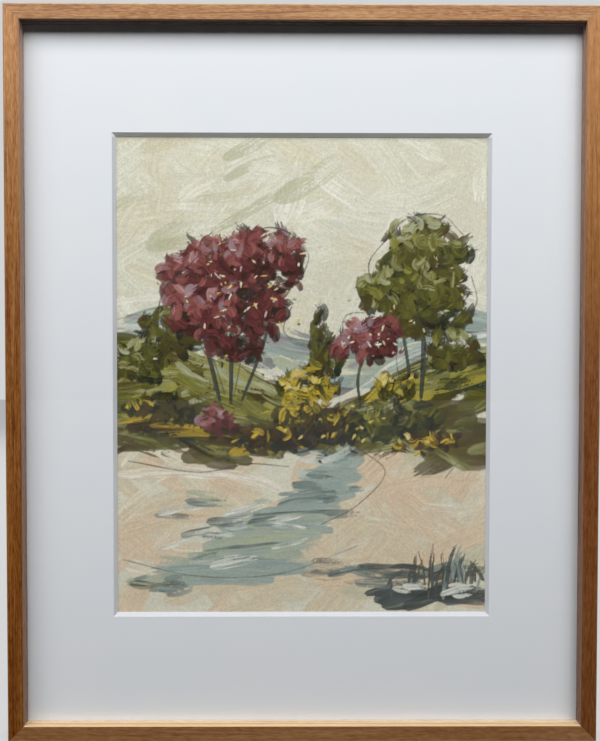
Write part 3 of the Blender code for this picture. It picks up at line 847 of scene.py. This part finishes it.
# Trunks, crowns and bushes: a trunk is its foot, its head and its width
TRUNKS = (
    ((76, 156), (62, 214), 3.8),
    ((84, 154), (88, 240), 3.4),
    ((92, 156), (116, 226), 2.6),
    ((222, 158), (220, 236), 3.8),
    ((216, 160), (206, 220), 2.6),
    ((178, 152), (180, 190), 2.2),
)
for foot, head, wide in TRUNKS:
    middle = ((foot[0] + head[0]) / 2 + wander(0, 3), (foot[1] + head[1]) / 2)
    brush([foot, middle, head], wide, ("umber", "slate"), dry=0.4, body=0.05)
LEAVES = [
    ("bottle", "umber"), ("bottle", "moss"), ("moss", "brown"), ("moss", "olive"), ("olive", "moss"),
    ("olive", "reed"), ("lime", "olive"), ("reed", "leaf"),
]
BLOSSOM = [
    ("bottle", "umber"), ("umber", "wine"), ("wine", "umber"), ("plum", "wine"), ("wine", "plum"),
    ("plum", "rose"), ("rose", "plum"), ("mauve", "rose"), ("rose", "pink"), ("pink", "mauve"),
]
copse(226, 262, 27, 24, LEAVES, 150, 12)
copse(218, 232, 38, 26, LEAVES, 260, 12)
copse(148, 196, 8, 24, LEAVES[:5], 60, 8, stretch=1.3, upright=0.7)
copse(160, 188, 6, 17, LEAVES[:5], 36, 7, stretch=1.3, upright=0.7)
copse(44, 208, 22, 18, LEAVES[:6], 90, 10)
copse(78, 226, 45, 34, BLOSSOM, 330, 12)
copse(112, 256, 26, 22, BLOSSOM, 150, 11)
copse(72, 256, 22, 15, BLOSSOM[1:], 110, 10)
copse(93, 264, 16, 12, BLOSSOM[1:], 60, 10)
copse(184, 200, 22, 17, BLOSSOM[1:], 130, 9)
copse(20, 186, 22, 15, LEAVES, 90, 9)
copse(246, 192, 22, 13, LEAVES, 80, 9)
copse(34, 150, 24, 10, [("umber", "bottle"), ("moss", "brown"), ("olive", "ochre")], 70, 8)
copse(
    140, 164, 22, 16,
    [("umber", "moss"), ("moss", "ochre"), ("ochre", "olive"), ("ochre", "straw"), ("straw", "ochre")],
    110, 8,
)
copse(204, 168, 16, 10, [("umber", "moss"), ("ochre", "olive"), ("ochre", "straw")], 46, 7)
copse(74, 142, 14, 9, BLOSSOM[1::2], 40, 8)
specks(50, 84, 236, 26, 20, 1.6, [("straw", "chalk"), ("pink", "chalk"), ("ochre", "straw")])
specks(26, 186, 202, 12, 9, 1.5, [("straw", "chalk"), ("pink", "chalk")])
specks(40, 82, 214, 28, 16, 1.7, [("umber", "wine"), ("umber", "graphite")])
specks(30, 220, 240, 22, 18, 1.7, [("umber", "bottle"), ("reed", "straw")])
# Reeds and stones in front
hatch(
    16, (196, 10, 262, 32), (6, 14), (34, 14), (10, 4),
    [("slate", "bottle"), ("slate", "sage"), ("slate", "umber")], body=0.05, dry=0.7, mixed=0.7,
    wet=0.3,
)
hatch(
    10, (150, 18, 208, 40), (2, 10), (30, 12), (6, 3), [("slate", "sand"), ("sage", "slate")],
    load=0.75, body=0.04, dry=0.9, mixed=0.8, wet=0.4,
)
CLUMP_X, CLUMP_FOOT, BLADES = 236, 22, 34
REEDS = [("slate", "bottle"), ("slate", "mist"), ("moss", "slate"), ("umber", "slate")]
for _ in range(BLADES):
    x = CLUMP_X + rng.normal(0, 22)
    bend = rng.normal(2, 6)
    tall = rng.uniform(12, 34) * (1 - min(abs(x - CLUMP_X) / 70, 0.6))
    foot = (x, wander(18, 7))
    blade = [foot, (x + bend * 0.3, CLUMP_FOOT + tall * 0.5), (x + bend, CLUMP_FOOT + tall)]
    brush(blade, rng.uniform(1.2, 3.0), REEDS[rng.integers(len(REEDS))], dry=0.6, body=0.05)
hatch(
    7, (190, 6, 266, 22), (4, 12), (16, 6), (4, 2), [("mist", "chalk"), ("buff", "chalk")], load=0.8,
    body=0.05, dry=0.9, mixed=0.4, wet=0.3,
)
hatch(
    10, (8, 16, 60, 30), (4, 14), (20, 8), (5, 2), [("slate", "sage"), ("reed", "slate")], load=0.7,
    body=0.04, dry=0.9, mixed=0.7, wet=0.4,
)
# Pencil lines: the points of each, its half width and how dark it is
PENCILLED = (
    ([(30, 214), (36, 236), (52, 252), (64, 262), (80, 264)], 0.45, 0.845),
    ([(96, 276), (112, 281), (128, 276), (140, 262), (136, 246)], 0.45, 0.845),
    ([(128, 224), (122, 208), (128, 200)], 0.45, 0.78),
    ([(24, 196), (22, 206), (34, 214)], 0.45, 0.78),
    ([(186, 240), (184, 256), (196, 272), (212, 288), (236, 290), (252, 276)], 0.45, 0.845),
    ([(258, 246), (262, 228), (254, 214)], 0.45, 0.78),
    ([(162, 206), (168, 218), (180, 220)], 0.45, 0.78),
    ([(222, 158), (226, 190), (219, 226), (226, 262)], 0.45, 0.715),
    ([(0, 214), (34, 224), (60, 227)], 0.4, 0.52),
    ([(150, 200), (176, 206), (196, 214)], 0.4, 0.585),
    ([(10, 112), (60, 104), (96, 110), (126, 108)], 0.45, 0.78),
    ([(86, 158), (92, 190), (98, 232), (116, 250)], 0.45, 0.78),
    ([(80, 160), (70, 190), (60, 214)], 0.45, 0.65),
    ([(210, 158), (204, 186), (208, 220)], 0.4, 0.78),
    ([(6, 40), (60, 28), (120, 30), (176, 50)], 0.4, 0.65),
    ([(176, 122), (196, 104), (176, 80), (150, 66)], 0.45, 0.65),
    ([(240, 100), (256, 122), (264, 150)], 0.4, 0.585),
    ([(132, 118), (146, 122), (140, 130), (158, 126), (164, 134)], 0.5, 0.9),
)
for line in PENCILLED:
    pencil(*line)
# The paper's grain shows through everywhere, least where the paint is thick
grit = 0.55 * uneven(across / 0.85 + 11, up / 0.85 + 5) + 0.45 * uneven(across / 1.6 + 2, up / 1.4 + 40)
colour *= 1 + (0.12 - 0.35 * np.clip(height, 0, 0.16))[..., None] * grit[..., None]
height = height + 0.010 * grit


sheet_low, sheet_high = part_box("artwork_sheet")
sheet_middle = (sheet_low + sheet_high) / 2
film_left = sheet_middle.x - WIDE / 2 / 1000
film_foot = sheet_middle.z - HIGH / 2 / 1000
paper_y = sheet_low.y

dried = Finish("dried_paint", Specular_IOR_Level=0.12)
pigment = dried.node("VertexColor", {"layer_name": "pigment"})
thick = Field(dried, pigment.socket.node.outputs["Alpha"])
fleck = dried.noise((1000, 1000, 1000), detail=3, roughness=0.6)
grain_of_paper = dried.noise((1500, 1500, 1500), detail=2)
pitted = dried.between(fleck, 0.3, 0.7, 0, 0.42)
dried.feed("Base Color", dried.mixed(pitted, pigment, (0.52, 0.50, 0.45, 1), "MULTIPLY"))
dried.feed("Roughness", dried.between(thick + fleck * 0.3, 0.15, 1.0, 0.72, 0.42))
dried.relief(fleck * 0.6 + grain_of_paper * 0.4, 0.00004)

# How far the film stands off the sheet, in millimetres: its foot, what is added to the paint's
# own height, the least and the most, and the height at which its surface is glossiest
FOOT_GAP, LIFT, THINNEST, THICKEST, FULL_COAT = 0.01, 0.02, 0.03, 0.28, 0.15


def paint_film(name, columns, rows):
    """One tile of the film between two columns and two rows of the grid, closed at its back."""
    (first_column, last_column), (first_row, last_row) = columns, rows
    wide, high = last_column - first_column, last_row - first_row
    film = bmesh.new()
    bmesh.ops.create_grid(film, x_segments=wide, y_segments=high, size=0.5)
    bmesh.ops.reverse_faces(film, faces=film.faces)
    rim = [edge for edge in film.edges if edge.is_boundary]
    for edge in rim:
        edge.smooth = False
    skirt = bmesh.ops.extrude_edge_only(film, edges=rim)["geom"]
    under = [v for v in skirt if isinstance(v, bmesh.types.BMVert)]
    bmesh.ops.translate(film, vec=(0, 0, -1), verts=under)
    foot_edges = [e for e in skirt if isinstance(e, bmesh.types.BMEdge)]
    bmesh.ops.holes_fill(film, edges=foot_edges, sides=0)
    mesh = bpy.data.meshes.new(name)
    film.to_mesh(mesh)
    film.free()

    places = np.empty(len(mesh.vertices) * 3, np.float32)
    mesh.vertices.foreach_get("co", places)
    places = places.reshape(-1, 3)
    i = first_column + np.rint((places[:, 0] + 0.5) * wide).astype(int)
    j = first_row + np.rint((places[:, 1] + 0.5) * high).astype(int)
    below = places[:, 2] < -0.5
    rise = np.where(below, FOOT_GAP, np.clip(height[j, i] + LIFT, THINNEST, THICKEST)) / 1000
    spots = (film_left + i * CELL / 1000, paper_y - rise, film_foot + j * CELL / 1000)
    mesh.vertices.foreach_set("co", np.column_stack(spots).astype(np.float32).ravel())
    layer = mesh.attributes.new("pigment", "FLOAT_COLOR", "POINT")
    shade = np.column_stack((np.clip(colour[j, i], 0, 1), np.clip(height[j, i] / FULL_COAT, 0, 1)))
    layer.data.foreach_set("color", shade.astype(np.float32).ravel())
    mesh.shade_smooth()
    mesh.materials.append(dried.material)
    mesh.update()
    tile = bpy.data.objects.new(name, mesh)
    bpy.context.scene.collection.objects.link(tile)
    return tile


LEFT_HALF, RIGHT_HALF = (0, COLUMNS // 2), (COLUMNS // 2, COLUMNS - 1)
LOWER_HALF, UPPER_HALF = (0, ROWS // 2), (ROWS // 2, ROWS - 1)
# Four tiles, so that none has too many faces
for side, columns in (("left", LEFT_HALF), ("right", RIGHT_HALF)):
    for level, rows in (("lower", LOWER_HALF), ("upper", UPPER_HALF)):
        tile = paint_film("paint_film_" + level + "_" + side, columns, rows)
        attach(tile, "root")


# Hinges
# Two strips of gummed paper, wetted and pressed down, that hold the sheet by its top edge to
# the board behind it.
hinge_paper = Finish("gummed_paper", Roughness=0.75, Specular_IOR_Level=0.3)
fibre = hinge_paper.noise((500, 500, 90), detail=4, roughness=0.6)
cream = hinge_paper.mixed(
    hinge_paper.between(fibre, 0.3, 0.7), (0.68, 0.66, 0.58, 1), (0.77, 0.75, 0.68, 1)
)
hinge_paper.feed("Base Color", cream)
hinge_paper.relief(fibre, 0.00002)
for side in ("left", "right"):
    dress("hinge_" + side, hinge_paper.material)


# Backboard
# Thin brown fibreboard, smooth and a little darker where it was pressed, with fine pale and
# dark fibres in it.
board = Finish("pressed_fibreboard", Specular_IOR_Level=0.35)
cloud = board.noise((30, 30, 30), detail=4, roughness=0.6)
short = board.noise((900, 900, 260), detail=3, roughness=0.65)
cross = board.noise((260, 900, 900), detail=3, roughness=0.65, shift=(5, 2, 9))
tone = board.mixed(board.between(cloud, 0.3, 0.7), (0.262, 0.152, 0.078, 1), (0.292, 0.172, 0.090, 1))
tone = board.mixed(board.between(short, 0.60, 0.72, 0, 0.6), tone, (0.42, 0.29, 0.17, 1))
tone = board.mixed(board.between(cross, 0.60, 0.72, 0, 0.5), tone, (0.12, 0.065, 0.032, 1))
board.feed("Base Color", tone)
board.feed("Roughness", board.between(cloud, 0.3, 0.7, 0.50, 0.66))
board.relief(short * 0.5 + cross * 0.5, 0.00005)
dress("backboard", board.material)


# Wedges, tabs, hanger and rivets
# Zinc-plated steel, stamped and sheared: bent wedges across the mitres, thin tabs driven in
# behind the backboard, and a sawtooth plate with two rivets.
def plated_steel(name, lay):
    """Bright zinc with cloudy spangle and fine rolling lines along one axis."""
    steel = Finish(name, Metallic=1.0)
    spangle = steel.noise((160, 160, 160), detail=3, roughness=0.6, distortion=0.8)
    lines = steel.noise(lay, detail=2)
    dull = steel.noise((45, 45, 45), detail=4, roughness=0.65, shift=(3, 8, 1))
    colour = steel.mixed(
        steel.between(spangle, 0.35, 0.65), (0.56, 0.55, 0.52, 1), (0.70, 0.69, 0.65, 1),
    )
    colour = steel.mixed(steel.between(dull, 0.55, 0.72, 0, 0.5), colour, (0.36, 0.35, 0.33, 1))
    steel.feed("Base Color", colour)
    steel.feed("Roughness", steel.between(spangle * 0.5 + dull * 0.5, 0.35, 0.65, 0.26, 0.46))
    steel.relief(lines * 0.6 + spangle * 0.4, 0.00002)
    return steel.material


rolled_along = plated_steel("zinc_rolled_along", (90, 3000, 3000))
rolled_up = plated_steel("zinc_rolled_up", (3000, 3000, 90))
for name in sorted(nodes):
    if name.startswith(("corner_wedge_", "tab_left", "tab_right", "sawtooth_", "rivet_")):
        dress(name, rolled_along)
    if name.startswith(("tab_top", "tab_bottom")):
        dress(name, rolled_up)
